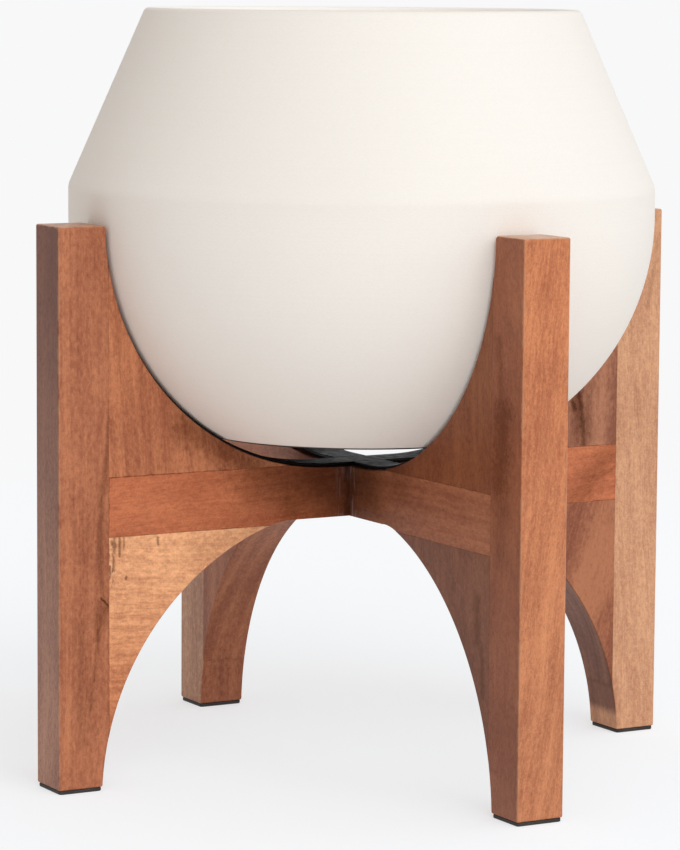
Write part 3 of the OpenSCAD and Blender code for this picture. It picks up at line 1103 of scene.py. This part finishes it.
class STAND_OT_plug(Operator):
    """Add the rubber plug of the drain hole"""
    bl_idname = "plant_stand.plug"
    bl_label = "Drain Plug"

    def execute(self, context):
        sizes, look = context.scene.pot_sizes, context.scene.rubber_look
        low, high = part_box("drain_plug")
        stem = sizes.drain_width / 2 - NEAR
        flange, r = high.x, sizes.plug_round
        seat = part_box("pot")[0].z + sizes.floor
        bore = 0.001  # radius of a fine hole down the plug's middle
        profile = ([(bore, low.z)] + arc((stem - r, low.z + r), r, DOWN, 0, r / 3)
                   + [(stem, seat)] + arc((flange - r, seat + r), r, DOWN, 0, r / 3)
                   + arc((flange - r, high.z - r), r, 0, UP, r / 3) + [(bore, high.z)])
        plug = spin_profile(profile, sizes.plug_steps)
        material = rubber_material("dull_plug", look.plug, look, roughness=0.5,
                                   grain_size=0.0009, cover=0.3)
        add_piece(plug, "rubber_plug", "plug", "drain_plug", material)
        return {"FINISHED"}


def place_round(heading, distance, height):
    """A place round the stand: heading is turned to the right from -Y."""
    return Vector((distance * sin(heading), -distance * cos(heading), height))


class STAND_OT_stage(Operator):
    """Add the floor, the soft light and the camera"""
    bl_idname = "plant_stand.stage"
    bl_label = "Stage"

    def execute(self, context):
        scene, look = context.scene, context.scene.stage_look
        scene.view_settings.view_transform = "Standard"

        ground = bmesh.new()
        bmesh.ops.create_grid(ground, x_segments=1, y_segments=1, size=look.floor_size / 2)
        floor = object_of(ground, "floor", floor_material(look))
        floor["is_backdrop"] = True

        lamp = bpy.data.lights.new("large_lamp", "SUN")
        lamp.energy = look.sun
        lamp.angle = look.sun_softness
        sun = put_in_scene("large_lamp", lamp)
        shine = place_round(look.sun_heading, cos(look.sun_height), sin(look.sun_height))
        sun.rotation_euler = shine.to_track_quat("Z", "Y").to_euler()
        light_world(look)

        camera = put_in_scene("camera", bpy.data.cameras.new("camera"))
        camera.data.lens = look.lens
        camera.data.sensor_fit = "AUTO"
        spot = place_round(look.camera_heading, look.camera_distance, look.camera_height)
        aim = (Matrix.Rotation(-look.look_heading, 4, "Z")
               @ Matrix.Rotation(UP - look.look_down, 4, "X")
               @ Matrix.Rotation(look.roll, 4, "Z"))
        camera.matrix_world = Matrix.Translation(spot) @ aim
        scene.camera = camera
        return {"FINISHED"}


class STAND_PT_panel(Panel):
    """Lists the stand's pieces, sizes and colours in the sidebar"""
    bl_idname = "STAND_PT_panel"
    bl_label = "Plant Stand"
    bl_space_type = "VIEW_3D"
    bl_region_type = "UI"
    bl_category = "Plant Stand"

    def draw(self, context):
        for operator in OPERATORS:
            self.layout.operator(operator.bl_idname)
        for holder in HOLDERS:
            box = self.layout.box()
            group = getattr(context.scene, holder)
            for name in group.bl_rna.properties.keys():
                if name not in ("rna_type", "name"):
                    box.prop(group, name)


HOLDERS = {"stand_sizes": StandSizes, "pot_sizes": PotSizes, "wood_look": WoodLook,
           "pot_look": PotLook, "rubber_look": RubberLook, "stage_look": StageLook}
OPERATORS = (STAND_OT_legs, STAND_OT_rails, STAND_OT_cradle_gussets, STAND_OT_arch_gussets,
             STAND_OT_strips, STAND_OT_pads, STAND_OT_dowels, STAND_OT_pot, STAND_OT_plug,
             STAND_OT_stage)


def register():
    for group in HOLDERS.values():
        for attribute, made in group.__annotations__.items():
            made.keywords["name"] = attribute.replace("_", " ").capitalize()
    for made in (*HOLDERS.values(), *OPERATORS, STAND_PT_panel):
        bpy.utils.register_class(made)
    for holder, group in HOLDERS.items():
        setattr(bpy.types.Scene, holder, PointerProperty(type=group))


def unregister():
    for holder in HOLDERS:
        delattr(bpy.types.Scene, holder)
    for made in (STAND_PT_panel, *reversed(OPERATORS), *HOLDERS.values()):
        bpy.utils.unregister_class(made)


def main():
    register()
    for operator in OPERATORS:
        getattr(bpy.ops.plant_stand, operator.bl_idname.split(".")[1])()
    boxes = {"cad": [list(corner) for corner in cad_bounds],
             "visual": [list(corner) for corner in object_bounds()]}


if __name__ == "__main__":
    main()
